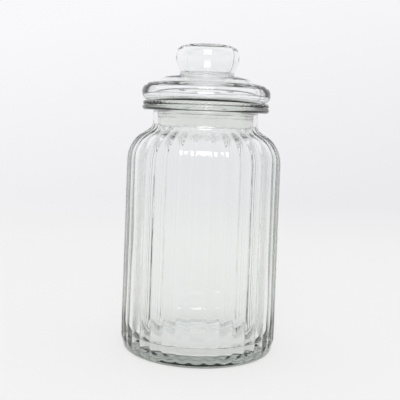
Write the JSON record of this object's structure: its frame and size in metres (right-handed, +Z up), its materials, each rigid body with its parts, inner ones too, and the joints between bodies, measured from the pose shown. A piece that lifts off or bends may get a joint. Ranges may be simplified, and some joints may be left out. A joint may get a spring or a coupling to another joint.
{
  "type": "apothecary jar",
  "caption": "Upright ribbed glass storage jar with a smooth neck, a rolled lip and a lift-off glass stopper lid with a round knob and a finned seal.",
  "frame": {"origin": "centre of the ring that the jar stands on, at the level of the surface under it", "axes": "+Z up along the jar's axis; +X and +Y level, each through the crest of a rib"},
  "size_m": [0.1114, 0.1114, 0.218],
  "materials": {
    "jar_glass": "clear pressed glass, fire polished, faintly grey-green in the thick base",
    "lid_glass": "clear pressed glass with a fine mould seam",
    "seal_plastic": "soft translucent plastic"
  },
  "bodies": {
    "jar": {"jar": "jar_glass"},
    "seal": {"seal_ring": "seal_plastic"},
    "lid": {"lid": "lid_glass"}
  },
  "joints": [
    {"name": "lid_lift", "type": "slide", "parent": "jar", "child": "seal", "axis": [0, 0, 1], "range_m": [0, 0.06]},
    {"name": "lid_turn", "type": "hinge", "parent": "seal", "child": "lid", "pos_m": [0, 0, 0.1767], "axis": [0, 0, 1], "continuous": true}
  ]
}
